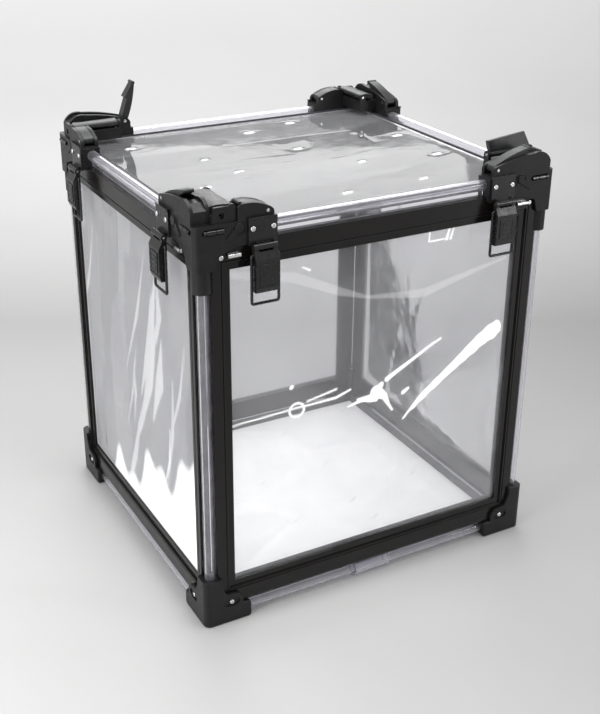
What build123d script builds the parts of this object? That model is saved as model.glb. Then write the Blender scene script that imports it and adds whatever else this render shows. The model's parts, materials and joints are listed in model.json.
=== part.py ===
"""Knock-down clear isolation box: tube frame, four framed film walls, film top, white floor.

Millimetres, +Z up. The origin is the centre of the footprint at floor level, -Y is the front.
The eight corner fittings are built once, in a corner frame: the outer corner of the box at
floor level is its origin, arm A runs along +X, arm B runs along +Y. Each corner of the box is
that frame turned by a quarter turn, so the four mouldings are identical.
"""
from build123d import *
import os

os.makedirs("parts", exist_ok=True)

# ---------------------------------------------------------------- driving dimensions
WIDTH = 500.0            # left wall plane to right wall plane
DEPTH = 460.0            # front wall plane to back wall plane
RAIL_TOP = 543.0         # top of the upper tubes above the floor
TUBE_R = 7.5             # clear tube
TUBE_BORE_R = 5.0
TUBE_INSET = 9.5         # tube axis behind both wall planes
BOTTOM_RAIL_Z = 12.0
TOP_RAIL_Z = RAIL_TOP - TUBE_R
SLIDE = 0.1              # radial play of a tube in its socket
SKIN = 4.0               # how far the mouldings stand outside the wall planes
ARM_IN = 20.0            # how far the mouldings reach inside the wall planes

SHOE_ARM = 62.0          # length of a bottom shoe's arms
SHOE_ARM_TOP = 24.0
SHOE_POST_TOP = 70.0
SHOE_SCREW = (34.0, 31.0)    # along the arm, and height
SHOE_POCKET_DEPTH = 2.0
CORNER_ARM = 100.0       # length of a top corner's arms
CORNER_ARM_Z = (517.0, 546.0)
SLEEVE_R = 12.0
SLEEVE_BOTTOM = 464.0
COLUMN_BOTTOM = 492.0
SOCKET_END = 24.0        # tubes stop this far from the wall planes

FRAME_EDGE = 17.3        # outer edge of a wall frame from the neighbouring wall plane
FRAME_Y = (1.0, 16.5)    # depth of a wall frame behind its wall plane
FRAME_Z = (26.0, 521.0)
WINDOW_Z = (58.0, 488.0)
WINDOW_MARGIN_WIDE = 42.0    # front and back walls
WINDOW_MARGIN_SIDE = 36.0    # left and right walls
STEP_BACK = 2.5          # inner band of a wall frame lies this much deeper
STEP_WIDTH = 9.0
FILM_Y = 8.0
FILM_THICK = 1.0
SLOT_PLAY = 0.3
SLOT_DEPTH = 4.0
WALL_SCREW = (30.0, 505.0)   # from the neighbouring wall plane, and height

GASKET = (20.5, 23.5)    # black seal around the top film, from the wall planes
TOP_FILM_Z = 533.5
FLOOR_Z = (8.0, 11.0)
FLOOR_EDGE = 21.5

PIN_PLAY = 0.05          # radial running clearance of every hinge
LEVER_PIN_R = 2.0
LEVER_HINGE_A = 88.0     # lever hinge from the wall plane, along its arm
LEVER_W = (1.0, 15.0)    # lever across its arm
LONG_LEVER = dict(hinge_z=556.0, slope=21.8, length=55.0, tooth=31.0)
SHORT_LEVER = dict(hinge_z=554.0, slope=18.0, length=35.0, tooth=19.0)
# housing cheeks: where they start, shoulder and peak heights, run up to the peak, sag after it
LONG_HOUSING = dict(start=5.0, shoulder=559.0, peak=571.0, rise=26.0, sag=3.5)
SHORT_HOUSING = dict(start=50.0, shoulder=560.0, peak=566.0, rise=10.0, sag=1.5)
HOUSING_END = 96.0
OPEN_LEVER_ANGLE = 86.0  # the long lever at the back left corner stands open

FLAP_PIN = (44.5, 562.0)     # flap hinge: inside arm B's wall plane, and height
FLAP_SPAN = (3.4, 66.6)      # along the hinge, from arm A's wall plane
FLAP_REACH = (24.0, 18.0)    # hinge to free edge, at the near and the far end
FLAP_LUGS = ((-1.0, 3.0), (67.0, 71.0))
OPEN_FLAP_ANGLE = 95.0   # the flap at the front right corner stands open

BARREL_Z = 538.0         # locking barrel in the slot of each outer face
BARREL_SLOT_U = 20.0
KNOB = (51.0, 539.5)     # locking knob beside the slot
LATCH_U = (62.0, 98.0)
LATCH_PLATE_V = (-7.0, -SKIN)
LATCH_PIVOT = (-11.5, 515.0)
LATCH_PIN_R = 1.5
LATCH_KNUCKLE_R = 4.0
LATCH_LEVER_U = (65.0, 95.0)
BAIL_PIVOT_Z = 505.5
BAIL_WIRE_R = 1.75
BAIL_U = (62.5, 97.5)
BAIL_BOTTOM = 446.0
LATCH_SCREWS = (67.0, 93.0)
LATCH_SCREW_Z = 536.0
KEEPER_U = (37.0, 53.0)
KEEPER_PIN = (-3.0, 506.5)
KEEPER_PIN_R = 2.6

SCREW_HEAD_R = 3.2
SCREW_SHANK_R = 1.5
SCREW_HOLE_R = 1.6
SCREW_LENGTH = 5.0

CORNERS = {
    "front_left": (-WIDTH / 2, -DEPTH / 2, 0),
    "front_right": (WIDTH / 2, -DEPTH / 2, 90),
    "back_right": (WIDTH / 2, DEPTH / 2, 180),
    "back_left": (-WIDTH / 2, DEPTH / 2, 270),
}
WALLS = {
    "front": (0, WIDTH, DEPTH),
    "right": (90, DEPTH, WIDTH),
    "back": (180, WIDTH, DEPTH),
    "left": (270, DEPTH, WIDTH),
}


# ---------------------------------------------------------------- small helpers
def block(x, y, z):
    """Box between two corners, each axis given as (low, high)."""
    size = (x[1] - x[0], y[1] - y[0], z[1] - z[0])
    centre = ((x[0] + x[1]) / 2, (y[0] + y[1]) / 2, (z[0] + z[1]) / 2)
    return Pos(*centre) * Box(*size)


def rod(axis, start, end, a, b, radius):
    """Round bar along X, Y or Z from start to end; a and b are the other two coordinates."""
    middle = (start + end) / 2
    bar = Cylinder(radius, end - start)
    if axis == "x":
        return Pos(middle, a, b) * Rot(0, 90, 0) * bar
    if axis == "y":
        return Pos(a, middle, b) * Rot(90, 0, 0) * bar
    return Pos(a, b, middle) * bar


def slab_xz(outline, y):
    """Closed outline drawn in X and Z, extruded between two Y values."""
    sheet = Plane(origin=(0, y[0], 0), x_dir=(1, 0, 0), z_dir=(0, -1, 0)) * make_face(outline)
    return extrude(sheet, amount=y[0] - y[1])


def slab_yz(outline, x):
    """Closed outline drawn in Y and Z, extruded between two X values."""
    sheet = Plane(origin=(x[0], 0, 0), x_dir=(0, 1, 0), z_dir=(1, 0, 0)) * make_face(outline)
    return extrude(sheet, amount=x[1] - x[0])


def polygon(*points):
    return Polyline(*points, close=True)


def on_arm_a(shape):
    return shape


def on_arm_b(shape):
    """Arm A geometry turned into arm B geometry: X and Y change places."""
    return mirror(shape, about=Plane(origin=(0, 0, 0), z_dir=(1, -1, 0)))


ARMS = {"a": on_arm_a, "b": on_arm_b}


def at_corner(shape, name):
    x, y, turn = CORNERS[name]
    return Pos(x, y, 0) * Rot(0, 0, turn) * shape


def wall_length(name):
    return WALLS[name][1]


def at_wall(shape, name):
    """Wall frame of reference: X along the wall from its left end, Y into the box."""
    turn, length, across = WALLS[name]
    return Rot(0, 0, turn) * Pos(-length / 2, -across / 2, 0) * shape


def save(shape, name):
    shape.label = name
    export_step(shape, "parts/" + name + ".step")


def save_group(shapes, name):
    save(Compound(children=list(shapes)), name)


# ---------------------------------------------------------------- fasteners
def pan_screw():
    """Pan head screw along +Z: the head sits on z = 0, the shank runs down, cross recess."""
    head = Cylinder(SCREW_HEAD_R, 2.0, align=(Align.CENTER, Align.CENTER, Align.MIN))
    head = fillet(head.edges().group_by(Axis.Z)[-1], 1.2)
    cross = Pos(0, 0, 1.7) * (Box(3.2, 0.8, 1.2) + Box(0.8, 3.2, 1.2))
    shank = Cylinder(SCREW_SHANK_R, SCREW_LENGTH, align=(Align.CENTER, Align.CENTER, Align.MAX))
    return (head - cross) + shank


def face_screw(x, y, z):
    """Screw driven into a front face (towards +Y) at this point of the face."""
    return Pos(x, y, z) * Rot(90, 0, 0) * pan_screw()


def face_hole(x, y, z):
    return rod("y", y - 0.5, y + SCREW_LENGTH + 1.0, x, z, SCREW_HOLE_R)


# ---------------------------------------------------------------- clear tubes
def tube(axis, start, end, a, b):
    return rod(axis, start, end, a, b, TUBE_R) - rod(axis, start - 1, end + 1, a, b, TUBE_BORE_R)


def bottom_rail(length):
    """Tube with a fin above it that faces the wall frame and ends in a flange."""
    ends = (SHOE_ARM + 1, length - SHOE_ARM - 1)
    body = tube("x", SOCKET_END, length - SOCKET_END, TUBE_INSET, BOTTOM_RAIL_Z)
    fin_y = (TUBE_INSET - 1.5, TUBE_INSET + 1.5)
    fin = block(ends, fin_y, (BOTTOM_RAIL_Z + 6.5, FRAME_Z[0] - 1.0))
    flange = block(ends, (TUBE_INSET - 6.5, fin_y[1]), (FRAME_Z[0] - 2.6, FRAME_Z[0] - 1.0))
    return body + fin + flange


def top_rail(length):
    """Tube with a fin down to the wall frame and a ledge under the top seal."""
    ends = (CORNER_ARM + 1, length - CORNER_ARM - 1)
    body = tube("x", SOCKET_END, length - SOCKET_END, TUBE_INSET, TOP_RAIL_Z)
    fin_y = (TUBE_INSET - 1.5, TUBE_INSET + 1.5)
    fin = block(ends, fin_y, (FRAME_Z[1] + 1.0, TOP_RAIL_Z - 6.5))
    ledge_z = (TOP_FILM_Z - 4.0, TOP_FILM_Z - 2.0)
    ledge = block(ends, (TUBE_INSET + 4.5, GASKET[1]), ledge_z)
    return body + fin + ledge


def tube_clip(length):
    """Clear U-shaped clip snapped on the middle of the front bottom tube."""
    half = 27.0
    outer_r = 10.4
    rim_r = 11.8
    middle = length / 2
    sleeve = rod("x", middle - half, middle + half, TUBE_INSET, BOTTOM_RAIL_Z, outer_r)
    for end in (middle - half, middle + half - 2.0):
        sleeve += rod("x", end, end + 2.0, TUBE_INSET, BOTTOM_RAIL_Z, rim_r)
    bore = rod("x", middle - half - 1, middle + half + 1, TUBE_INSET, BOTTOM_RAIL_Z, TUBE_R + 0.15)
    mouth = block((middle - half - 1, middle + half + 1), (TUBE_INSET - 3.5, TUBE_INSET + 20.0),
                  (BOTTOM_RAIL_Z + 1.0, BOTTOM_RAIL_Z + 20.0))
    return sleeve - bore - mouth


# ---------------------------------------------------------------- bottom shoe
def bottom_shoe():
    """Three-way shoe: socket for the post and for two bottom tubes, with a gusset on each face."""
    outside = (-SKIN, ARM_IN)
    arm = block((-SKIN, SHOE_ARM), outside, (0, SHOE_ARM_TOP))
    arm = fillet(arm.edges().filter_by(Axis.Y).group_by(Axis.X)[-1], 5.0)
    gusset = slab_xz(polygon((10, 10), (10, 58), (20, 58), (26, 45), (44, 42), (50, 34), (50, 10)),
                     (-SKIN, 0.0))
    side = arm + gusset
    column = block(outside, outside, (0, SHOE_POST_TOP))
    body = side + on_arm_b(side) + column
    ledge = slab_xz(polygon((16, 0), (48, 0), (48, FLOOR_Z[0]), (16, FLOOR_Z[0])), (16, 48))
    body += ledge
    corner_edge = [e for e in body.edges().filter_by(Axis.Z)
                   if e.center().X < -SKIN + 0.1 and e.center().Y < -SKIN + 0.1]
    body = fillet(corner_edge, 9.0)
    sole_edges = [e for e in body.edges().group_by(Axis.Z)[0]
                  if min(e.center().X, e.center().Y) < -SKIN + 6.0]
    body = fillet(sole_edges, 2.5)
    body -= rod("z", 3.0, SHOE_POST_TOP + 1, TUBE_INSET, TUBE_INSET, TUBE_R + SLIDE)
    screw_x, screw_z = SHOE_SCREW
    for turn in ARMS.values():
        body -= turn(rod("x", SOCKET_END - 1, SHOE_ARM + 1, TUBE_INSET, BOTTOM_RAIL_Z, TUBE_R + SLIDE))
        mouth = Plane(origin=(screw_x, -SKIN - 1, screw_z), x_dir=(1, 0, 0), z_dir=(0, 1, 0))
        body -= turn(extrude(mouth * SlotOverall(22.0, 12.0), SHOE_POCKET_DEPTH + 1))
        body -= turn(face_hole(screw_x, -SKIN, screw_z))
    return body


# ---------------------------------------------------------------- top corner
def cheek_pair(outline):
    """Two side cheeks of a lever housing on arm A."""
    return slab_xz(outline, (-SKIN, 0.5)) + slab_xz(outline, (15.5, ARM_IN))


def lever_housing(lever, housing):
    """Cheeks of a lever housing on arm A, from near the corner out to the lever's hinge."""
    base = CORNER_ARM_Z[1] - 2
    start = housing["start"]
    peak = housing["peak"]
    peak_at = start + housing["rise"]
    crown = (LEVER_HINGE_A + 2, lever["hinge_z"] + 4.5)
    outline = [
        Line((start, base), (start, housing["shoulder"])),
        ThreePointArc((start, housing["shoulder"]), (start + 0.37 * housing["rise"], peak - 1.3), (peak_at, peak)),
        ThreePointArc((peak_at, peak), ((peak_at + crown[0]) / 2, peak - housing["sag"]), crown),
        ThreePointArc(crown, (crown[0] + 4.5, crown[1] - 3), (HOUSING_END, crown[1] - 8.5)),
        Line((HOUSING_END, crown[1] - 8.5), (HOUSING_END, base)),
        Line((HOUSING_END, base), (start, base)),
    ]
    return cheek_pair(outline)


def lock_knob():
    """Round locking knob with its short arm, raised on arm A's outer face."""
    x, z = KNOB
    knob = rod("y", -SKIN - 2.6, -SKIN + 1, x, z, 5.6)
    knob = fillet(knob.edges().group_by(Axis.Y)[0], 1.2)
    collar = rod("y", -SKIN - 0.9, -SKIN + 1, x, z - 1.5, 8.6)
    collar -= rod("y", -SKIN - 2, -SKIN + 2, x, z - 1.5, 7.4)
    handle = slab_xz(polygon((x - 3, z + 2), (x + 2, z - 4), (x - 15, z - 15), (x - 17, z - 12)),
                     (-SKIN - 1.4, -SKIN + 1))
    return knob + collar + handle


def top_corner():
    """Three-way corner: sockets for the post and two top tubes, housings for levers and flap."""
    outside = (-SKIN, ARM_IN)
    low, high = CORNER_ARM_Z
    arm = block((-SKIN, CORNER_ARM), outside, CORNER_ARM_Z)
    web = polygon((15, high - 4), (15, 494), (21, 494), (25, 509), (34, 512), (60, low + 4))
    web = slab_xz(web, (-SKIN, 0.0))
    side = arm + web
    body = side + on_arm_b(side)
    body += block(outside, outside, (COLUMN_BOTTOM, high))
    body += rod("z", SLEEVE_BOTTOM, high, TUBE_INSET, TUBE_INSET, SLEEVE_R)
    corner_edge = [e for e in body.edges().filter_by(Axis.Z)
                   if e.center().X < -SKIN + 0.1 and e.center().Y < -SKIN + 0.1]
    body = fillet(corner_edge, 8.0)

    # housing of the short lever on arm A, and of the long lever on arm B
    short_floor = polygon((50, high - 2), (50, 556), (66, 551), (84, 547.5), (96, 547.5), (96, high - 2))
    body += lever_housing(SHORT_LEVER, SHORT_HOUSING) + slab_xz(short_floor, (0.0, 16.0))
    long_floor = polygon((5, high - 2), (5, 561), (18, 568), (30, 568), (38, 566), (46, 561.5),
                         (57, 556.5), (84, 548), (96, 548), (96, high - 2))
    long_side = lever_housing(LONG_LEVER, LONG_HOUSING) + slab_xz(long_floor, (0.0, 16.0))
    body += on_arm_b(long_side)

    # flap housing: deck, two lugs, and an outer plate that closes it towards arm A's face
    flap_u, flap_z = FLAP_PIN
    near_lug, far_lug = FLAP_LUGS
    body += block((19.5, flap_u + 5), (near_lug[0], far_lug[1]), (high - 5, 556.0))
    for lug in FLAP_LUGS:
        body += block((flap_u - 5, flap_u + 5), lug, (550.0, flap_z))
        body += rod("y", *lug, flap_u, flap_z, 5.0)
    plate = block((21.0, flap_u), near_lug, (high - 2, flap_z + 3))
    body += fillet(plate.edges().filter_by(Axis.Y).group_by(Axis.Z)[-1].sort_by(Axis.X)[0], 3.0)

    # sockets, hinge bores
    body -= rod("z", SLEEVE_BOTTOM - 1, TOP_RAIL_Z - 12, TUBE_INSET, TUBE_INSET, TUBE_R + SLIDE)
    bore_r = LEVER_PIN_R + PIN_PLAY
    body -= rod("y", near_lug[0] + 1, far_lug[1] + 1, flap_u, flap_z, bore_r)
    short_bore = rod("y", -SKIN - 1, ARM_IN + 1, LEVER_HINGE_A, SHORT_LEVER["hinge_z"], bore_r)
    long_bore = rod("y", -SKIN - 1, ARM_IN + 1, LEVER_HINGE_A, LONG_LEVER["hinge_z"], bore_r)
    body -= short_bore
    body -= on_arm_b(long_bore)
    for turn in ARMS.values():
        # tube socket, slot of the locking barrel, locking knob, and screw holes of each arm
        body -= turn(rod("x", SOCKET_END - 1, CORNER_ARM + 1, TUBE_INSET, TOP_RAIL_Z, TUBE_R + SLIDE))
        mouth = Plane(origin=(BARREL_SLOT_U, -SKIN - 1, BARREL_Z), x_dir=(1, 0, 0), z_dir=(0, 1, 0))
        body -= turn(extrude(mouth * SlotOverall(28.0, 7.0), 4.2))
        body += turn(lock_knob())
        for x in LATCH_SCREWS:
            body -= turn(face_hole(x, -SKIN, LATCH_SCREW_Z))
    pocket_y = near_lug[0]
    body -= rod("y", pocket_y - 1, pocket_y + 2.5, 31.0, 554.5, 3.8)
    body -= rod("y", pocket_y - 1, pocket_y + 10.0, 31.0, 554.5, SCREW_HOLE_R)
    return body


# ---------------------------------------------------------------- levers and flaps
def cam_lever(lever):
    """Lever on arm A, closed: hinge at the arm's end, tooth underneath, bead at the tip."""
    length = lever["length"]
    tooth = lever["tooth"]
    knuckle = rod("y", *LEVER_W, 0, 0, 5.0)
    outline = [
        Line((0, -4.2), (tooth, -3.6)),
        Line((tooth, -3.6), (tooth + 1, -7.4)),
        Line((tooth + 1, -7.4), (length - 2, -1.6)),
        Line((length - 2, -1.6), (length - 2, 2.0)),
        ThreePointArc((length - 2, 2.0), (length * 0.45, 5.6), (0, 5.0)),
        Line((0, 5.0), (0, -4.2)),
    ]
    body = knuckle + slab_xz(outline, LEVER_W) + rod("y", *LEVER_W, length, 0, 2.4)
    body -= rod("y", LEVER_W[0] - 1, LEVER_W[1] + 1, 0, 0, LEVER_PIN_R + PIN_PLAY)
    body = Rot(0, lever["slope"], 0) * mirror(body, about=Plane.YZ)
    return Pos(LEVER_HINGE_A, 0, lever["hinge_z"]) * body


def lock_flap():
    """Wide flap, closed: lies over its housing from the hinge towards arm B's wall plane."""
    u, z = FLAP_PIN
    near, far = FLAP_SPAN
    reach = FLAP_REACH[0]
    knuckle_r = 4.0
    profile = [
        Line((0, -2.5), (-reach, -2.5)),
        Line((-reach, -2.5), (-reach, 0.5)),
        ThreePointArc((-reach, 0.5), (-reach / 2, 4.0), (0, knuckle_r)),
        Line((0, knuckle_r), (0, -2.5)),
    ]
    plan = polygon((0, near), (-6, near), (-FLAP_REACH[0], near + 9), (-FLAP_REACH[1], far + 4),
                   (-6, far), (0, far))
    plan = extrude(Pos(0, 0, -10) * make_face(plan), amount=20)
    body = (slab_xz(profile, (near - 1, far + 5)) & plan) + rod("y", near, far, 0, 0, knuckle_r)
    body -= rod("y", near - 1, far + 1, 0, 0, LEVER_PIN_R + PIN_PLAY)
    return Pos(u, 0, z) * body


# ---------------------------------------------------------------- draw latch
def latch_plate():
    """Plate on arm A's outer face with a curled knuckle for the latch pin."""
    v_pivot, z_pivot = LATCH_PIVOT
    plate = block(LATCH_U, LATCH_PLATE_V, (z_pivot + 1, 549.0))
    rim = block(LATCH_U, (LATCH_PLATE_V[0] - 1.0, LATCH_PLATE_V[0]), (547.0, 549.0))
    knuckle_u = (71.0, 89.0)
    neck = block(knuckle_u, (v_pivot, LATCH_PLATE_V[1]), (z_pivot - 1, z_pivot + 4))
    body = plate + rim + neck + rod("x", *knuckle_u, v_pivot, z_pivot, LATCH_KNUCKLE_R)
    body -= rod("x", 70, 90, v_pivot, z_pivot, LATCH_PIN_R + PIN_PLAY)
    for x in LATCH_SCREWS:
        body -= face_hole(x, LATCH_PLATE_V[0], LATCH_SCREW_Z)
    return body


def latch_lever():
    """Hanging latch lever with a raised field on its front and sockets for the wire bail."""
    v, z = LATCH_PIVOT
    outline = polygon((v + 3, z - 5), (v - 3, z - 5), (v - 7.5, z - 14), (v - 7.5, z - 48),
                      (v - 5.5, z - 54), (v + 0.5, z - 54), (v + 3, z - 50))
    body = slab_yz(outline, LATCH_LEVER_U)
    field = block((69.5, 90.5), (v - 8.5, v - 7), (z - 44, z - 19))
    field -= block((71.5, 88.5), (v - 9, v - 8), (z - 42, z - 21))
    for rib in range(3):
        rib_z = z - 26 - 6 * rib
        field += block((74.0, 86.0), (v - 8.5, v - 7.5), (rib_z - 1.5, rib_z + 1.5))
    body += field
    body += block((67.0, 93.0), (v - 8.3, v - 7), (z - 48, z - 46.5))
    for u in ((LATCH_LEVER_U[0], 70.7), (89.3, LATCH_LEVER_U[1])):
        body += rod("x", *u, v, z, LATCH_KNUCKLE_R)
        body += block(u, (v - 3, v + 3), (z - 6, z))
    body -= rod("x", 64, 96, v, z, LATCH_PIN_R + PIN_PLAY)
    bail_bore = BAIL_WIRE_R + PIN_PLAY
    body -= rod("x", 64, 69.0, v, BAIL_PIVOT_Z, bail_bore)
    body -= rod("x", 91.0, 96, v, BAIL_PIVOT_Z, bail_bore)
    return body


def wire_bail():
    """Rectangular wire loop, its two ends turned inwards into the latch lever."""
    v = LATCH_PIVOT[0]
    left, right = BAIL_U
    path = FilletPolyline((68.6, v, BAIL_PIVOT_Z), (left, v, BAIL_PIVOT_Z), (left, v, BAIL_BOTTOM),
                          (right, v, BAIL_BOTTOM), (right, v, BAIL_PIVOT_Z),
                          (91.4, v, BAIL_PIVOT_Z), radius=2.5)
    section = Plane(origin=path @ 0, z_dir=path % 0) * Circle(BAIL_WIRE_R)
    return sweep(section, path)


def latch_keeper():
    """Small steel bracket with a cross pin on the wall frame, below arm A."""
    foot = block((KEEPER_U[0] + 1, KEEPER_U[1] - 1), (-0.8, FRAME_Y[0] - 0.1), (504.5, 509.5))
    return foot + rod("x", *KEEPER_U, *KEEPER_PIN, KEEPER_PIN_R)


def locking_barrel():
    """Barrel in the slot of arm A's outer face, with two grooves."""
    v = -SKIN + 0.2
    core = rod("x", 7.5, 32.5, v, BARREL_Z, 1.9)
    for start, end in ((7.5, 10.0), (11.5, 22.0), (23.2, 32.5)):
        core += rod("x", start, end, v, BARREL_Z, 2.6)
    return core


# ---------------------------------------------------------------- walls
def corner_clearance():
    """Space the corner mouldings take out of a wall frame, at its left end."""
    side = (-SKIN - 1, ARM_IN + 1)
    space = block((-SKIN - 1, CORNER_ARM + 1), side, (CORNER_ARM_Z[0] - 0.5, 560))
    space += block(side, side, (COLUMN_BOTTOM - 0.5, 560))
    space += rod("z", SLEEVE_BOTTOM - 1, 560, TUBE_INSET, TUBE_INSET, SLEEVE_R + 0.6)
    space += block(side, side, (0, SHOE_POST_TOP + 1))
    return space


def wall_frame(length, margin):
    """Black extruded frame around a film window: outer band, lower inner band, film slot."""
    x = (FRAME_EDGE, length - FRAME_EDGE)
    window_x = (margin, length - margin)
    body = block(x, FRAME_Y, FRAME_Z)
    body -= block(window_x, (-1, 20), WINDOW_Z)
    band_x = (window_x[0] - STEP_WIDTH, window_x[1] + STEP_WIDTH)
    band_z = (WINDOW_Z[0] - STEP_WIDTH, WINDOW_Z[1] + STEP_WIDTH)
    body -= block(band_x, (-1, FRAME_Y[0] + STEP_BACK), band_z)
    groove = block((band_x[0] - 3.5, band_x[1] + 3.5), (-1, FRAME_Y[0] + 1.2),
                   (band_z[0] - 3.5, band_z[1] + 3.5))
    groove -= block((band_x[0] - 2.0, band_x[1] + 2.0), (-2, 3), (band_z[0] - 2.0, band_z[1] + 2.0))
    body -= groove
    half = FILM_THICK / 2 + SLOT_PLAY
    body -= block((window_x[0] - SLOT_DEPTH, window_x[1] + SLOT_DEPTH), (FILM_Y - half, FILM_Y + half),
                  (WINDOW_Z[0] - SLOT_DEPTH, WINDOW_Z[1] + SLOT_DEPTH))
    body -= corner_clearance()
    body -= mirror(corner_clearance(), about=Plane(origin=(length / 2, 0, 0), z_dir=(1, 0, 0)))
    for inset, height in (WALL_SCREW, SHOE_SCREW):
        body -= face_hole(inset, FRAME_Y[0], height)
        body -= face_hole(length - inset, FRAME_Y[0], height)
    return body


def wall_film(length, margin):
    reach = SLOT_DEPTH - 0.5
    x = (margin - reach, length - margin + reach)
    return block(x, (FILM_Y - FILM_THICK / 2, FILM_Y + FILM_THICK / 2),
                 (WINDOW_Z[0] - reach, WINDOW_Z[1] + reach))


def centred(inset, z):
    """Rectangular plate whose edges lie inset behind the four wall planes."""
    x = (-WIDTH / 2 + inset, WIDTH / 2 - inset)
    y = (-DEPTH / 2 + inset, DEPTH / 2 - inset)
    return block(x, y, z)


# ---------------------------------------------------------------- write every node
MARGINS = {"front": WINDOW_MARGIN_WIDE, "back": WINDOW_MARGIN_WIDE,
           "left": WINDOW_MARGIN_SIDE, "right": WINDOW_MARGIN_SIDE}

post = tube("z", 3.5, TOP_RAIL_Z - 12.5, TUBE_INSET, TUBE_INSET)
save_group([at_corner(post, name) for name in CORNERS], "corner_posts")
for label, pair in (("front_back", ("front", "back")), ("side", ("left", "right"))):
    length = wall_length(pair[0])
    save_group([at_wall(bottom_rail(length), wall) for wall in pair], "bottom_rails_" + label)
    save_group([at_wall(top_rail(length), wall) for wall in pair], "top_rails_" + label)
save(at_wall(tube_clip(WIDTH), "front"), "tube_clip")

shoe = bottom_shoe()
corner = top_corner()
for name in CORNERS:
    save(at_corner(shoe, name), "bottom_shoe_" + name)
    save(at_corner(corner, name), "top_corner_" + name)

for wall, margin in MARGINS.items():
    length = wall_length(wall)
    save(at_wall(wall_frame(length, margin), wall), "wall_frame_" + wall)
    save(at_wall(wall_film(length, margin), wall), "wall_film_" + wall)

seal_z = (TOP_FILM_Z - 2.0, TOP_FILM_Z + 2.5)
save(centred(GASKET[0], seal_z) - centred(GASKET[1], (500, 560)), "top_seal")
save(centred(GASKET[1] + SLOT_PLAY, (TOP_FILM_Z, TOP_FILM_Z + FILM_THICK)), "top_film")
save(centred(FLOOR_EDGE, FLOOR_Z), "floor_panel")

# hardware of one corner: pins of the levers and the flap, then what each arm carries
short_pin = rod("y", -SKIN, ARM_IN, LEVER_HINGE_A, SHORT_LEVER["hinge_z"], LEVER_PIN_R)
long_pin = on_arm_b(rod("y", -SKIN, ARM_IN, LEVER_HINGE_A, LONG_LEVER["hinge_z"], LEVER_PIN_R))
flap_pin = rod("y", FLAP_LUGS[0][0] + 1.2, FLAP_LUGS[1][1], *FLAP_PIN, LEVER_PIN_R)
save_group([at_corner(pin, name) for name in CORNERS for pin in (short_pin, long_pin, flap_pin)],
           "lever_pins")
arm_hardware = {
    "latch_pins": rod("x", 65.5, 94.5, *LATCH_PIVOT, LATCH_PIN_R),
    "latch_plates": latch_plate(),
    "latch_keepers": latch_keeper(),
    "locking_barrels": locking_barrel(),
}
for label, shape in arm_hardware.items():
    save_group([at_corner(turn(shape), name) for name in CORNERS for turn in ARMS.values()], label)

screws = []
for name in CORNERS:
    for turn in ARMS.values():
        for x in LATCH_SCREWS:
            screws.append(at_corner(turn(face_screw(x, LATCH_PLATE_V[0], LATCH_SCREW_Z)), name))
        shoe_screw = face_screw(SHOE_SCREW[0], SHOE_POCKET_DEPTH - SKIN, SHOE_SCREW[1])
        screws.append(at_corner(turn(shoe_screw), name))
for wall in WALLS:
    for x in (WALL_SCREW[0], wall_length(wall) - WALL_SCREW[0]):
        screws.append(at_wall(face_screw(x, FRAME_Y[0], WALL_SCREW[1]), wall))
save_group(screws, "pan_screws")

# moving parts: the back left long lever and the front right flap stand open, all else is closed
short_lever = cam_lever(SHORT_LEVER)
long_lever = on_arm_b(cam_lever(LONG_LEVER))
flap = lock_flap()
lever = latch_lever()
bail = wire_bail()
lever_axis = Axis((0, LEVER_HINGE_A, LONG_LEVER["hinge_z"]), (-1, 0, 0))
flap_axis = Axis((FLAP_PIN[0], 0, FLAP_PIN[1]), (0, 1, 0))
for name in CORNERS:
    lever_angle = OPEN_LEVER_ANGLE if name == "back_left" else 0.0
    flap_angle = OPEN_FLAP_ANGLE if name == "front_right" else 0.0
    save(at_corner(short_lever, name), "short_lever_" + name)
    save(at_corner(long_lever.rotate(lever_axis, lever_angle), name), "long_lever_" + name)
    save(at_corner(flap.rotate(flap_axis, flap_angle), name), "lock_flap_" + name)
    for arm, turn in ARMS.items():
        save(at_corner(turn(lever), name), "latch_lever_" + arm + "_" + name)
        save(at_corner(turn(bail), name), "wire_bail_" + arm + "_" + name)
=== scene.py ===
"""Looks for the knock-down clear isolation box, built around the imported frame."""

import json
import math
import random

import bpy
import numpy as np
from mathutils import Matrix, Vector


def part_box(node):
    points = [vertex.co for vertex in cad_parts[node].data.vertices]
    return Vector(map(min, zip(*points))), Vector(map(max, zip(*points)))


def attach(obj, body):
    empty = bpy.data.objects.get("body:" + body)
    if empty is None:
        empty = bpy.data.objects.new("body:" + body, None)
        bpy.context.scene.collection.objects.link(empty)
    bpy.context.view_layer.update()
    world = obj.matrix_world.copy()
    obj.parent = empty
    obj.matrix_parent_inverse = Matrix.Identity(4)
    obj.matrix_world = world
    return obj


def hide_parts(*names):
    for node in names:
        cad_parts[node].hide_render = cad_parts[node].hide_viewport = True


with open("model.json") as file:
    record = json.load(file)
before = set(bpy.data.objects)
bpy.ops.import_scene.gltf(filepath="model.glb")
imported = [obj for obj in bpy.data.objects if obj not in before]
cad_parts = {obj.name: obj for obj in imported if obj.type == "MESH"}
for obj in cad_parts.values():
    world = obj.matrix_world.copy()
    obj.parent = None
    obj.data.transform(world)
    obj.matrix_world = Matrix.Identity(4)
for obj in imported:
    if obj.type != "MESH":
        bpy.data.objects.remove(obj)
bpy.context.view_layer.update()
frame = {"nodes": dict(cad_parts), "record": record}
NODES = frame["nodes"]


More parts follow.
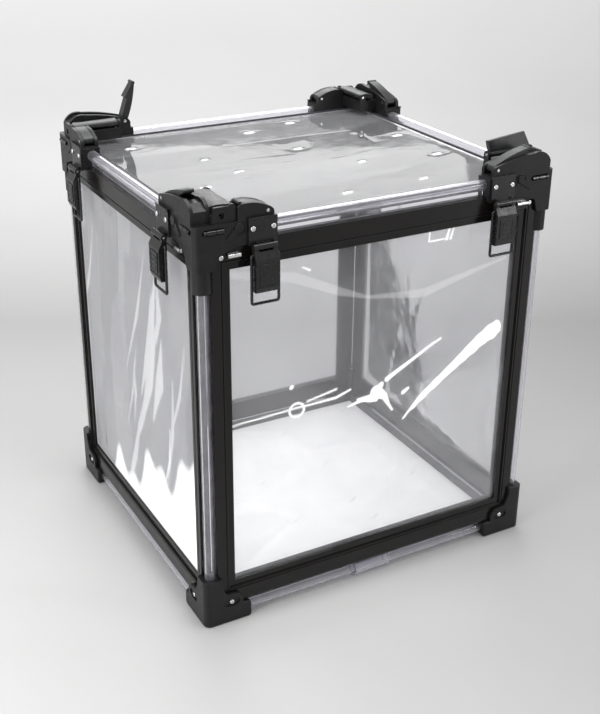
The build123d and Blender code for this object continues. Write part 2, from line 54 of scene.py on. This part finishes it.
# ---------------------------------------------------------------- material helpers
class Nodes:
    """Thin wrapper that adds and links shader nodes."""

    def __init__(self, name):
        self.material = bpy.data.materials.new(name)
        self.material.use_nodes = True
        self.tree = self.material.node_tree
        self.tree.nodes.clear()
        self.output = self.add("ShaderNodeOutputMaterial")

    def add(self, kind, inputs=None, **settings):
        node = self.tree.nodes.new(kind)
        for key, value in settings.items():
            setattr(node, key, value)
        for key, value in (inputs or {}).items():
            if isinstance(value, bpy.types.NodeSocket):
                self.tree.links.new(value, node.inputs[key])
            else:
                node.inputs[key].default_value = value
        return node

    def object_point(self, scale=(1, 1, 1)):
        texture = self.add("ShaderNodeTexCoord")
        mapping = self.add("ShaderNodeMapping", {"Vector": texture.outputs["Object"], "Scale": scale})
        return mapping.outputs["Vector"]

    def noise(self, scale, detail=3.0, roughness=0.5, stretch=(1, 1, 1)):
        point = self.object_point(stretch)
        node = self.add("ShaderNodeTexNoise", {"Vector": point, "Scale": scale, "Detail": detail,
                                               "Roughness": roughness})
        return node.outputs["Fac"]

    def ramp(self, value, stops):
        node = self.add("ShaderNodeValToRGB", {"Fac": value})
        ramp = node.color_ramp
        while len(ramp.elements) < len(stops):
            ramp.elements.new(0.5)
        for element, (place, colour) in zip(ramp.elements, stops):
            element.position = place
            element.color = (*colour, 1.0)
        return node.outputs["Color"]

    def spread(self, value, low, high):
        node = self.add("ShaderNodeMapRange", {"Value": value, "From Min": 0.3, "From Max": 0.7,
                                               "To Min": low, "To Max": high})
        return node.outputs["Result"]

    def bump(self, height, distance, strength=1.0, normal=None):
        inputs = {"Height": height, "Distance": distance, "Strength": strength}
        if normal is not None:
            inputs["Normal"] = normal
        return self.add("ShaderNodeBump", inputs).outputs["Normal"]

    def soft_edges(self, radius):
        return self.add("ShaderNodeBevel", {"Radius": radius}, samples=4).outputs["Normal"]

    def grey_ramp(self, value, stops):
        return self.ramp(value, [(place, (grey,) * 3) for place, grey in stops])

    def multiply(self, first, second):
        """Product of two colours; 6 and 7 are the mix node's colour inputs, and 2 its colour output."""
        node = self.add("ShaderNodeMix", {6: first, 7: second, 0: 1.0}, data_type="RGBA",
                        blend_type="MULTIPLY")
        return node.outputs[2]

    def shader(self, kind, inputs=None):
        return self.add("ShaderNode" + kind, inputs).outputs[0]

    def mix(self, share, first, second):
        return self.shader("MixShader", {0: share, 1: first, 2: second})

    def surface(self, shader):
        self.tree.links.new(shader, self.output.inputs["Surface"])
        return self.material

    def principled(self, tone, rough, normal, more=None):
        """Finish the material with one principled shader."""
        inputs = {"Base Color": tone, "Roughness": rough, "Normal": normal, **(more or {})}
        return self.surface(self.shader("BsdfPrincipled", inputs))


def moulded_plastic(name, dark, light, roughness, grain, edge, gloss):
    """Black moulded plastic: mottled tone, fine spark-eroded grain, softened edges.

    dark and light are the two tones; the grain's height and the radius of the edges are in metres.
    """
    n = Nodes(name)
    tone = n.ramp(n.noise(60.0, 4.0), [(0.3, dark), (0.7, light)])
    rough = n.spread(n.noise(220.0, 3.0), roughness - 0.06, roughness + 0.08)
    normal = n.bump(n.noise(2600.0, 2.0), grain, 0.5, n.soft_edges(edge))
    return n.principled(tone, rough, normal, {"Specular IOR Level": gloss, "IOR": 1.5})


def extruded_plastic():
    """Glossy black extrusion with a slight wave in its faces and faint dust."""
    n = Nodes("black_extrusion_gloss")
    bare = (0.007, 0.006, 0.0055)
    worn = (0.011, 0.0095, 0.009)
    dusty = (0.035, 0.031, 0.03)
    tone = n.ramp(n.noise(900.0, 6.0, 0.7), [(0.35, bare), (0.68, worn), (0.82, dusty)])
    rough = n.spread(n.noise(35.0, 4.0), 0.14, 0.26)
    normal = n.bump(n.noise(26.0, 2.0, 0.4), 0.0008, 0.3, n.soft_edges(0.0006))
    return n.principled(tone, rough, normal, {"Specular IOR Level": 0.30})


def see_through_rays(n, shader, tint):
    """Let light pass straight through for shadow and bounce rays, so the inside is lit."""
    path = n.add("ShaderNodeLightPath")
    either = n.add("ShaderNodeMath", {0: path.outputs["Is Shadow Ray"], 1: path.outputs["Is Diffuse Ray"]},
                   operation="MAXIMUM")
    return n.mix(either.outputs["Value"], shader, n.shader("BsdfTransparent", {"Color": (*tint, 1)}))


def clear_acrylic():
    """Polished tube: refracts, with a faint lilac tint, a little milk and light scuffs."""
    n = Nodes("clear_acrylic")
    rough = n.spread(n.noise(400.0, 5.0, 0.65), 0.01, 0.06)
    normal = n.bump(n.noise(90.0, 2.0), 0.00008, 0.2)
    glass = n.shader("BsdfGlass", {"Color": (0.985, 0.98, 0.995, 1), "Roughness": rough, "IOR": 1.49,
                                   "Normal": normal})
    milk = n.shader("BsdfDiffuse", {"Color": (0.88, 0.87, 0.92, 1)})
    body = n.mix(n.spread(n.noise(60.0, 4.0), 0.02, 0.06), glass, milk)
    return n.surface(see_through_rays(n, body, (0.90, 0.90, 0.92)))


def flat_facets(n, stretch, scale):
    """Random level of each facet of a crumpled film, 0 to 1."""
    point = n.object_point(stretch)
    warp = n.add("ShaderNodeTexNoise", {"Vector": point, "Scale": 3.0, "Detail": 2.0}).outputs["Color"]
    bent = n.add("ShaderNodeVectorMath", {0: warp, 1: (0.35, 0.35, 0.35), 2: point}, operation="MULTIPLY_ADD")
    cells = n.add("ShaderNodeTexVoronoi", {"Vector": bent.outputs["Vector"], "Scale": scale},
                  feature="SMOOTH_F1")
    cells.inputs["Smoothness"].default_value = 0.12
    return n.add("ShaderNodeSeparateColor", {"Color": cells.outputs["Color"]}).outputs["Red"]


def clear_film(name, haze, tint, facet_scale, stretch, index, veil_glow, spread=0.45):
    """Thin clear film: see-through, a milky veil in flat facets, folds painted white as highlights, sharp
    reflections.

    haze is the veil's share and spread how much it differs between facets. veil_glow stands in for light
    scattered in the film. A mesh attribute, 0 to 1, says where the creases get painted highlights, white with
    a glow.
    """
    n = Nodes(name)
    broad = n.noise(10.0, 3.0, 0.5)
    facet = flat_facets(n, stretch, facet_scale)
    normal = n.bump(facet, 0.0003, 0.2, n.bump(broad, 0.0015, 0.2))
    clear = n.shader("BsdfTransparent", {"Color": (*tint, 1)})
    veil_tone = n.ramp(broad, [(0.3, (0.80, 0.80, 0.84)), (0.7, (0.90, 0.90, 0.92))])
    through = n.shader("BsdfTranslucent", {"Color": veil_tone})
    back = n.shader("BsdfDiffuse", {"Color": veil_tone})
    inner = n.shader("Emission", {"Color": veil_tone, "Strength": veil_glow})
    veil = n.shader("AddShader", {0: n.mix(0.5, through, back), 1: inner})
    amount = n.add("ShaderNodeMapRange", {"Value": facet, "To Min": haze * (1 - spread),
                                          "To Max": haze * (1 + spread)}).outputs["Result"]
    milky = n.mix(amount, clear, veil)
    rough = n.spread(n.noise(50.0, 3.0), 0.02, 0.08)
    mirror = n.shader("BsdfGlossy", {"Color": (1, 1, 1, 1), "Roughness": rough, "Normal": normal})
    fresnel = n.add("ShaderNodeFresnel", {"IOR": index, "Normal": normal}).outputs["Fac"]
    shine = n.mix(fresnel, milky, mirror)
    # Painted highlights: where the mesh attribute marks the creases, the film turns white with a painted
    # glow, standing in for glints.
    painted_glint = n.add("ShaderNodeAttribute", attribute_name="painted_glint").outputs["Fac"]
    white = n.shader("BsdfDiffuse", {"Color": (1, 1, 1, 1)})
    glow = n.shader("Emission", {"Color": (1, 1, 1, 1), "Strength": 0.45})
    with_painted_glints = n.mix(painted_glint, shine, n.shader("AddShader", {0: white, 1: glow}))
    return n.surface(see_through_rays(n, with_painted_glints, (0.985, 0.985, 0.985)))


def white_sheet():
    """Matte white floor sheet with small dimples and faint scuffs."""
    n = Nodes("white_sheet")
    tone = n.ramp(n.noise(30.0, 5.0, 0.6), [(0.3, (0.86, 0.86, 0.87)), (0.65, (0.93, 0.93, 0.93))])
    dimples = n.add("ShaderNodeTexVoronoi", {"Vector": n.object_point(), "Scale": 26.0}).outputs["Distance"]
    pit = n.grey_ramp(dimples, [(0.02, 0), (0.09, 1)])
    normal = n.bump(pit, 0.0008, 0.4, n.bump(n.noise(500.0, 3.0), 0.0002, 0.3))
    return n.principled(tone, 0.55, normal)


def grey_scuff():
    """Scuffed grey of the marks on the floor sheet."""
    n = Nodes("grey_scuff")
    tone = n.ramp(n.noise(300.0, 4.0), [(0.3, (0.42, 0.43, 0.43)), (0.7, (0.62, 0.62, 0.62))])
    return n.principled(tone, 0.5, n.bump(n.noise(900.0), 0.0001, 0.2))


def bright_steel():
    """Bright screws and pins with a fine turned grain."""
    n = Nodes("bright_steel")
    tone = n.ramp(n.noise(300.0, 4.0), [(0.3, (0.62, 0.62, 0.61)), (0.7, (0.86, 0.86, 0.85))])
    rough = n.spread(n.noise(1200.0, 3.0), 0.12, 0.28)
    normal = n.bump(n.noise(1500.0, 2.0), 0.00008, 0.4, n.soft_edges(0.0003))
    return n.principled(tone, rough, normal, {"Metallic": 1.0})


def seal_rubber():
    """Dull black rubber with a soft grain."""
    n = Nodes("seal_rubber")
    tone = n.ramp(n.noise(200.0, 4.0), [(0.3, (0.012, 0.011, 0.014)), (0.7, (0.03, 0.028, 0.034))])
    return n.principled(tone, 0.6, n.bump(n.noise(1200.0, 3.0), 0.0002, 0.4))


NYLON = moulded_plastic("black_nylon_grain", dark=(0.007, 0.007, 0.0075), light=(0.012, 0.012, 0.0125),
                        roughness=0.36, grain=0.00012, edge=0.0008, gloss=0.28)
LEVER = moulded_plastic("lever_nylon", dark=(0.010, 0.0105, 0.0105), light=(0.017, 0.018, 0.018),
                        roughness=0.34, grain=0.0001, edge=0.0009, gloss=0.45)
LATCH = moulded_plastic("latch_coating", dark=(0.006, 0.006, 0.0065), light=(0.010, 0.010, 0.0105),
                        roughness=0.27, grain=0.00003, edge=0.0005, gloss=0.45)
WIRE = moulded_plastic("wire_coating", dark=(0.006, 0.006, 0.0065), light=(0.010, 0.010, 0.011),
                       roughness=0.25, grain=0.00004, edge=0.0003, gloss=0.45)
BARREL = moulded_plastic("barrel_gloss", dark=(0.005, 0.005, 0.005), light=(0.009, 0.009, 0.009),
                         roughness=0.12, grain=0.00002, edge=0.0003, gloss=0.6)
EXTRUSION = extruded_plastic()
ACRYLIC = clear_acrylic()
FLOOR_SHEET = white_sheet()
SCUFF = grey_scuff()
STEEL = bright_steel()
SEAL = seal_rubber()
FRONT_FILM = clear_film("front_film_clear", haze=0.10, tint=(0.89, 0.89, 0.895), facet_scale=5.0,
                        stretch=(1.0, 1.0, 1.6), index=1.25, veil_glow=0.0)
SIDE_FILM = clear_film("side_film_clear", haze=0.27, tint=(0.99, 0.99, 0.995), facet_scale=6.0,
                       stretch=(1.0, 2.6, 0.5), index=1.12, veil_glow=0.86, spread=0.14)
FAR_FILM = clear_film("far_film_clear", haze=0.13, tint=(0.94, 0.94, 0.945), facet_scale=4.0,
                      stretch=(1.0, 1.0, 1.0), index=1.16, veil_glow=0.08, spread=0.25)
TOP_FILM = clear_film("top_film_clear", haze=0.22, tint=(0.93, 0.93, 0.935), facet_scale=7.0,
                      stretch=(0.5, 2.4, 1.0), index=1.18, veil_glow=0.06, spread=0.25)

SLOT_MATERIAL = {
    "black_nylon": NYLON,
    "lever_black": LEVER,
    "latch_black": LATCH,
    "black_wire": WIRE,
    "black_extrusion": EXTRUSION,
    "clear_tube": ACRYLIC,
    "white_floor": FLOOR_SHEET,
    "steel": STEEL,
    "black_seal": SEAL,
}
for part in frame["record"]["subparts"]:
    finish = SLOT_MATERIAL.get(part["material_slot"])
    if finish is None:
        continue
    if part["node"] == "locking_barrels":
        finish = BARREL
    mesh = NODES[part["node"]].data
    mesh.materials.clear()
    mesh.materials.append(finish)


# ---------------------------------------------------------------- wrinkled films
# Places and widths on a film run from 0 to 1 along the sheet, and heights are in metres.
STEP = 0.0024
EDGE_FADE = 0.0045
FAR_STEP = 2 * STEP
FRONT_STEP = 0.7 * STEP
WAVES = 9

# The front film: folds drawn out of the two upper corners, as corner, way, reach and height.
FRONT_CORNER_FOLDS = (((0.02, 0.99), 1, 0.6, 0.0012), ((0.98, 0.93), -1, 0.5, 0.0010))
# The long pinched folds and the shallow one below, as start, end, width and height.
FRONT_PINCHES = (((0.58, 0.38), (0.97, 0.65), 0.020, 0.0035), ((0.50, 0.52), (0.76, 0.65), 0.012, 0.0024),
                 ((0.05, 0.30), (0.60, 0.22), 0.012, 0.0006))
FRONT_EYELET = (0.223, 0.521)
# Painted highlight lines along the creases, each a row of points with the line's half width there.
PINCH_LINE = ((0.606, 0.402, 0.001), (0.674, 0.455, 0.012), (0.79, 0.533, 0.014), (0.89, 0.602, 0.022),
              (0.94, 0.63, 0.026))
SAG_LINE = ((0.02, 0.97, 0.01), (0.21, 0.93, 0.015), (0.365, 0.86, 0.012), (0.46, 0.825, 0.004),
            (0.66, 0.80, 0.014), (0.96, 0.86, 0.004))
STAR_LINES = (
    ((0.539, 0.548, 0.008), (0.736, 0.639, 0.002)),
    ((0.434, 0.505, 0.003), (0.482, 0.498, 0.012), (0.518, 0.535, 0.008)),
    ((0.50, 0.515, 0.020), (0.53, 0.495, 0.010), (0.546, 0.464, 0.004), (0.562, 0.44, 0.002)),
    ((0.40, 0.49, 0.002), (0.45, 0.50, 0.005), (0.50, 0.49, 0.006)),
    ((0.600, 0.49, 0.006), (0.618, 0.50, 0.004)),
)
LEVEL_CREASE_LINES = (
    ((0.011, 0.519, 0.001), (0.104, 0.522, 0.0015), (0.195, 0.527, 0.0015), (0.286, 0.529, 0.002),
     (0.355, 0.53, 0.003), (0.406, 0.545, 0.002)),
    ((0.258, 0.542, 0.0015), (0.357, 0.558, 0.002)),
    ((0.204, 0.597, 0.005), (0.206, 0.599, 0.005)),
)
UPPER_EDGE_LINES = (
    ((0.667, 0.998, 0.0015), (0.669, 0.958, 0.0015), (0.727, 0.957, 0.001)),
    ((0.740, 0.995, 0.0015), (0.733, 0.956, 0.004)),
    ((0.755, 0.99, 0.001), (0.747, 0.955, 0.003)),
    ((0.238, 0.955, 0.001), (0.263, 0.942, 0.002)),
)

blister_rng = random.Random(29)
TOP_BLISTERS = [((i + blister_rng.uniform(0.2, 0.8)) / 5, (j + blister_rng.uniform(0.2, 0.8)) / 4)
                for i in range(5) for j in range(4) if (i + 2 * j) % 3 != 1]


def smoothstep(x):
    return x * x * (3 - 2 * x)


def add_piece(name, vertices, faces, material, smooth=False):
    """Put a mesh object in the scene."""
    mesh = bpy.data.meshes.new(name)
    mesh.from_pydata(vertices, [], faces)
    mesh.polygons.foreach_set("use_smooth", [smooth] * len(mesh.polygons))
    mesh.materials.append(material)
    piece = bpy.data.objects.new(name, mesh)
    bpy.context.scene.collection.objects.link(piece)
    return piece


def smooth_noise(rng, columns, rows, cells):
    """Smooth random field on a grid, built from a few cosine waves."""
    s, t = np.meshgrid(np.linspace(0, 1, columns), np.linspace(0, 1, rows), indexing="ij")
    field = np.zeros_like(s)
    for _ in range(WAVES):
        angle = rng.uniform(0, 2 * math.pi)
        pitch = rng.uniform(0.4, 1.0) * cells
        phase = rng.uniform(0, 2 * math.pi)
        wave = math.cos(angle) * s + math.sin(angle) * t
        field += np.cos(2 * math.pi * pitch * wave + phase)
    return field / 4.0


def crease(s, t, start, end, width, height, fade=0.25):
    """Sharp fold from start to end; its height fades out at both ends."""
    dx = end[0] - start[0]
    dy = end[1] - start[1]
    length = math.hypot(dx, dy)
    along = ((s - start[0]) * dx + (t - start[1]) * dy) / length ** 2
    across = ((s - start[0]) * -dy + (t - start[1]) * dx) / length
    ends = smoothstep(np.clip(np.minimum(along, 1 - along) / fade, 0, 1))
    return height * np.exp(-np.abs(across) / width) * ends


def dent(s, t, centre, radius, depth, aspect=1.0):
    """Round bump with a shallow moat around it."""
    d = np.hypot((s - centre[0]) / radius, (t - centre[1]) * aspect / radius)
    return depth * (np.exp(-d ** 2) - 0.55 * np.exp(-(d / 1.6) ** 2))


def film_sheet(name, node, relief, glint_mask, step, material):
    """Closed thin sheet in the space of a flat CAD film.

    relief(s, t) gives the wrinkles in metres and the second function how white the creases are painted as
    highlights, 0 to 1;
    s and t run from 0 to 1 along the sheet.
    """
    low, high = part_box(node)
    size = high - low
    thin = min(range(3), key=lambda k: size[k])
    if thin == 2:
        across, up = 0, 1
    else:
        across, up = 1 - thin, 2
    columns = int(size[across] / step)
    rows = int(size[up] / step)
    s, t = np.meshgrid(np.linspace(0, 1, columns), np.linspace(0, 1, rows), indexing="ij")
    rim = 0.035
    flat_rim = 0.3
    edge = np.minimum(np.minimum(s, 1 - s), np.minimum(t, 1 - t)) / rim
    height = relief(s, t) * smoothstep(np.clip(edge - flat_rim, 0, 1))
    middle = (low[thin] + high[thin]) / 2
    skin = 0.00015
    vertices = []
    for side in (-1, 1):
        points = np.zeros((columns, rows, 3))
        points[..., across] = low[across] + s * size[across]
        points[..., up] = low[up] + t * size[up]
        points[..., thin] = middle + height + side * skin
        vertices.append(points.reshape(-1, 3))
    total = columns * rows
    faces = []
    flip = thin == 1
    for i in range(columns - 1):
        for j in range(rows - 1):
            a = i * rows + j
            quad = (a, a + rows, a + rows + 1, a + 1)
            back = tuple(total + k for k in reversed(quad))
            faces.append(quad if flip else quad[::-1])
            faces.append(back if flip else back[::-1])
    border = [i * rows for i in range(columns)]
    border += [(columns - 1) * rows + j for j in range(1, rows)]
    border += [i * rows + rows - 1 for i in range(columns - 2, -1, -1)]
    border += [j for j in range(rows - 2, 0, -1)]
    for k, a in enumerate(border):
        b = border[(k + 1) % len(border)]
        quad = (b, a, total + a, total + b)
        faces.append(quad if flip else quad[::-1])
    sheet = add_piece(name, [tuple(v) for v in np.concatenate(vertices)], faces, material, smooth=True)
    # Painted highlights: the mask of white creases goes on the mesh as an attribute for the film shader.
    white = np.clip(glint_mask(s, t), 0, 1).reshape(-1)
    painted_glint_layer = sheet.data.attributes.new("painted_glint", "FLOAT", "POINT")
    painted_glint_layer.data.foreach_set("value", np.concatenate([white, white]))
    sheet.data.update()
    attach(sheet, "root")
    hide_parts(node)


def random_creases(rng, s, t, count, width, height, lean):
    """Scattered folds that mostly run one way, lean in radians from horizontal."""
    field = np.zeros_like(s)
    for _ in range(count):
        centre = (rng.uniform(0.08, 0.92), rng.uniform(0.08, 0.92))
        angle = lean + rng.gauss(0, 0.5)
        half = rng.uniform(0.06, 0.24)
        start = (centre[0] - half * math.cos(angle), centre[1] - half * math.sin(angle))
        end = (centre[0] + half * math.cos(angle), centre[1] + half * math.sin(angle))
        sign = rng.choice((-1, 1))
        wide = width * rng.uniform(0.6, 1.5)
        field += crease(s, t, start, end, wide, sign * height * rng.uniform(0.5, 1.2))
    return field


def stroke(s, t, line):
    """Painted highlight along a bent line, a row of (s, t, half width) points."""
    field = np.zeros_like(s)
    for (s0, t0, width0), (s1, t1, width1) in zip(line, line[1:]):
        ds, dt = s1 - s0, t1 - t0
        along = np.clip(((s - s0) * ds + (t - t0) * dt) / (ds * ds + dt * dt), 0, 1)
        away = np.hypot(s - s0 - along * ds, t - t0 - along * dt)
        width = width0 + (width1 - width0) * along
        field = np.maximum(field, np.clip((width - away) / EDGE_FADE + 0.5, 0, 1))
    return field


def ring(s, t, centre, radius, width):
    """Painted highlight ring, a little wider than it is high."""
    away = np.abs(np.hypot(s - centre[0], (t - centre[1]) * 1.1) - radius)
    return np.clip((width - away) / EDGE_FADE + 0.5, 0, 1)


def front_relief(s, t):
    rng = random.Random(11)
    field = 0.0013 * smooth_noise(rng, *s.shape, 1.4)
    field += 0.00025 * smooth_noise(rng, *s.shape, 4.0)
    for k in range(4):
        angle = -0.25 - 0.2 * k
        for corner, way, reach, height in FRONT_CORNER_FOLDS:
            end = (corner[0] + way * reach * math.cos(angle), corner[1] + reach * math.sin(angle))
            field += crease(s, t, corner, end, 0.02, height, 0.3)
    for start, end, width, height in FRONT_PINCHES:
        field += crease(s, t, start, end, width, height, 0.3)
    field += dent(s, t, FRONT_EYELET, 0.03, 0.0010)
    return field


def front_glints(s, t):
    """Painted highlights on the ragged pinched fold, the star of creases beside it and thin creases, and a
    faint painted sheen on a soft sag under the top.
    """
    rng = random.Random(3)
    ragged = 0.006 * smooth_noise(rng, *s.shape, 30.0)
    field = stroke(s + ragged, t + ragged, PINCH_LINE)
    for line in STAR_LINES + LEVEL_CREASE_LINES + UPPER_EDGE_LINES:
        field = np.maximum(field, stroke(s, t, line))
    field = np.maximum(field, ring(s, t, FRONT_EYELET, 0.024, 0.0025))
    return np.maximum(field, 0.08 * stroke(s, t, SAG_LINE))


def side_relief(seed):
    def relief(s, t):
        rng = random.Random(seed)
        field = 0.0016 * smooth_noise(rng, *s.shape, 1.5)
        field += random_creases(rng, s, t, 16, 0.022, 0.0010, 1.9)
        return field
    return relief


def side_glints(seed):
    """Painted sheen along long soft folds that hang down and lean, stronger on a few sharp ones, and painted
    brightness low at the front that stands in for the lit floor seen through the film.
    """
    count = 13
    thin = 0.007
    thin_tone = 0.14
    wide_tone = 0.05
    painted_bright_tone = 0.27
    fade = 0.06

    def glint_mask(s, t):
        rng = random.Random(seed)
        field = np.zeros_like(s)
        for _ in range(count):
            start = (rng.uniform(0.0, 0.95), rng.uniform(0.35, 0.98))
            lean = rng.uniform(0.05, 0.35)
            drop = rng.uniform(0.2, 0.55)
            end = (start[0] + lean * drop * 1.6, start[1] - drop)
            middle = ((start[0] + end[0]) / 2 - 0.02, (start[1] + end[1]) / 2)
            half = rng.uniform(0.003, 0.030)
            tone = thin_tone if half < thin else wide_tone
            line = [(*start, 0.0), (*middle, half), (*end, 0.001)]
            field = np.maximum(field, tone * stroke(s, t, line))
        # Painted brightness low at the front, standing in for the lit floor seen through the film.
        lobes = 0.05 * np.sin(s * 19) + 0.03 * np.sin(s * 43 + 1)
        painted_bright = np.clip((0.36 - 0.42 * s - t + lobes) / fade, 0, 1)
        return np.maximum(field, painted_bright_tone * painted_bright)
    return glint_mask


def top_relief(s, t):
    rng = random.Random(5)
    field = 0.0004 * smooth_noise(rng, *s.shape, 1.5)
    field += random_creases(rng, s, t, 6, 0.016, 0.0003, 0.05)
    for centre in TOP_BLISTERS:
        field += dent(s, t, centre, 0.016, 0.0010, 1.4)
    return field


def top_glints(s, t):
    """Painted highlights on the top film: short white dashes on the small blisters pressed into it."""
    rng = random.Random(17)
    field = np.zeros_like(s)
    for centre in TOP_BLISTERS:
        half = rng.uniform(0.006, 0.013)
        dash = [(centre[0] - half, centre[1], 0.003), (centre[0] + half, centre[1] + 0.002, 0.004)]
        field = np.maximum(field, rng.uniform(0.45, 0.9) * stroke(s, t, dash))
    return field


def no_glints(s, t):
    return np.zeros_like(s)


film_sheet("front_film_sheet", "wall_film_front", front_relief, front_glints, FRONT_STEP, FRONT_FILM)
film_sheet("left_film_sheet", "wall_film_left", side_relief(21), side_glints(4), STEP, SIDE_FILM)
film_sheet("back_film_sheet", "wall_film_back", side_relief(33), no_glints, FAR_STEP, FAR_FILM)
film_sheet("right_film_sheet", "wall_film_right", side_relief(47), no_glints, FAR_STEP, FAR_FILM)
film_sheet("top_film_sheet", "top_film", top_relief, top_glints, STEP, TOP_FILM)


# ---------------------------------------------------------------- floor marks and skirt
SUNK = 0.0001


def floor_marks():
    """Short thin scuffs scattered over the floor sheet, all in one mesh."""
    low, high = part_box("floor_panel")
    rows = 4
    columns = 4
    length = 0.018
    width = 0.0014
    lift = 0.0003
    outline = ((-1, -0.3), (0, -1), (1, -0.3), (1, 0.3), (0, 1), (-1, 0.3))
    sides = len(outline)
    rng = random.Random(41)
    vertices = []
    faces = []
    for i in range(columns):
        for j in range(rows):
            x = low[0] + (i + rng.uniform(0.2, 0.8)) / columns * (high[0] - low[0])
            y = low[1] + (j + rng.uniform(0.2, 0.8)) / rows * (high[1] - low[1])
            angle = rng.gauss(0.5, 0.12)
            half = length * rng.uniform(0.35, 0.6)
            along = Vector((math.cos(angle), math.sin(angle), 0))
            across = Vector((-along.y, along.x, 0)) * width / 2
            centre = Vector((x, y, high[2] - SUNK))
            base = len(vertices)
            for z in (0, lift):
                vertices += [centre + along * half * a + across * b + Vector((0, 0, z)) for a, b in outline]
            faces.append(tuple(base + k for k in reversed(range(sides))))
            faces.append(tuple(base + sides + k for k in range(sides)))
            for k in range(sides):
                m = (k + 1) % sides
                faces.append((base + k, base + m, base + sides + m, base + sides + k))
    marks = add_piece("floor_marks", vertices, faces, SCUFF)
    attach(marks, "root")


def floor_skirt():
    """Soft skirt that closes the gap between the floor sheet and the wall frames above it."""
    low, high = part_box("floor_panel")
    gap = 0.0003
    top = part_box("wall_frame_front")[0][2] - gap
    thick = 0.0012
    vertices = []
    for inset in (0, thick):
        for z in (high[2] - SUNK, top):
            vertices += [(low[0] + inset, low[1] + inset, z), (high[0] - inset, low[1] + inset, z),
                         (high[0] - inset, high[1] - inset, z), (low[0] + inset, high[1] - inset, z)]
    faces = []
    for k in range(4):
        m = (k + 1) % 4
        faces += [(k, m, 4 + m, 4 + k), (8 + m, 8 + k, 12 + k, 12 + m), (4 + k, 4 + m, 12 + m, 12 + k),
                  (m, k, 8 + k, 8 + m)]
    skirt = add_piece("floor_skirt", vertices, faces, SEAL)
    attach(skirt, "root")


floor_marks()
floor_skirt()


# ---------------------------------------------------------------- studio
VIEW_TURN = math.radians(29.07)
VIEW_DOWN = math.radians(24.74)
VIEW_ROLL = math.radians(0.52)
CAMERA_PLACE = (-0.7366, -1.3438, 0.9688)
CAMERA_LENS = 58.56
CAMERA_SHIFT_UP = -0.0238
CENTRE = (0, 0, 0.3)
WORLD_TONE = (0.93, 0.94, 0.95, 1)
WORLD_STRENGTH = 0.55


def studio_paper():
    """Pale paper that is shaded by the place in the view, darker towards the right and halfway up."""
    n = Nodes("studio_paper")
    window = n.add("ShaderNodeTexCoord").outputs["Window"]
    place = n.add("ShaderNodeSeparateXYZ", {"Vector": window})
    grain = n.ramp(n.noise(3.0, 4.0), [(0.3, (0.59, 0.59, 0.585)), (0.7, (0.61, 0.61, 0.605))])
    rise = n.grey_ramp(place.outputs["Y"], [(0.0, 0.90), (0.2, 0.86), (0.36, 0.76), (0.55, 0.60),
                                            (0.75, 0.86), (0.93, 1.0)])
    side = n.grey_ramp(place.outputs["X"], [(0.0, 1.0), (0.5, 0.90), (1.0, 0.74)])
    glow = n.grey_ramp(place.outputs["Y"], [(0.55, 0.0), (1.0, 0.34)])
    return n.principled(n.multiply(n.multiply(grain, rise), side), 0.5, n.bump(n.noise(800.0), 0.0001, 0.2),
                        {"Specular IOR Level": 0.3, "Emission Color": glow, "Emission Strength": 1.0})


def sweep_backdrop():
    """Pale floor that curves up into a backdrop behind the box."""
    half = 9.0
    front = -9.0
    start = 2.4
    radius = 1.6
    top = 5.0
    bends = 12
    profile = [(front, 0.0), (start, 0.0)]
    for k in range(1, bends + 1):
        angle = math.pi / 2 * k / bends
        profile.append((start + radius * math.sin(angle), radius - radius * math.cos(angle)))
    profile.append((start + radius, top))
    turn = Matrix.Rotation(-VIEW_TURN, 4, "Z")
    vertices = [turn @ Vector((x, y, z)) for x in (-half, half) for y, z in profile]
    rows = len(profile)
    faces = [(k, rows + k, rows + k + 1, k + 1) for k in range(rows - 1)]
    add_piece("studio_sweep", vertices, faces, studio_paper(), smooth=True)


def softbox(name, place, size, watts):
    """Rectangular lamp that faces the middle of the box."""
    data = bpy.data.lights.new(name, "AREA")
    data.shape = "RECTANGLE"
    data.size = size[0]
    data.size_y = size[1]
    data.energy = watts
    lamp = bpy.data.objects.new(name, data)
    lamp.location = place
    lamp.rotation_euler = (Vector(CENTRE) - Vector(place)).to_track_quat("-Z", "Y").to_euler()
    bpy.context.scene.collection.objects.link(lamp)


sweep_backdrop()
softbox("top_box", (0.2, 0.1, 2.6), (2.2, 1.8), 60)
softbox("left_box", (-2.4, -0.5, 1.2), (1.4, 2.0), 46)
softbox("right_strip", (1.7, -1.9, 0.9), (0.35, 1.4), 14)
softbox("back_box", (0.9, 2.0, 1.6), (1.6, 1.0), 14)

world = bpy.data.worlds.new("studio_world")
bpy.context.scene.world = world
world.use_nodes = True
background = world.node_tree.nodes["Background"]
background.inputs["Color"].default_value = WORLD_TONE
background.inputs["Strength"].default_value = WORLD_STRENGTH

camera_data = bpy.data.cameras.new("view_camera")
camera_data.lens = CAMERA_LENS
camera_data.sensor_width = 36
camera_data.shift_y = CAMERA_SHIFT_UP
camera_data.clip_end = 50
camera = bpy.data.objects.new("view_camera", camera_data)
heading = Matrix.Rotation(-VIEW_TURN, 4, "Z") @ Matrix.Rotation(math.pi / 2 - VIEW_DOWN, 4, "X")
camera.matrix_world = Matrix.Translation(CAMERA_PLACE) @ heading @ Matrix.Rotation(VIEW_ROLL, 4, "Z")
bpy.context.scene.collection.objects.link(camera)
bpy.context.scene.camera = camera
bpy.context.scene.view_settings.view_transform = "Standard"
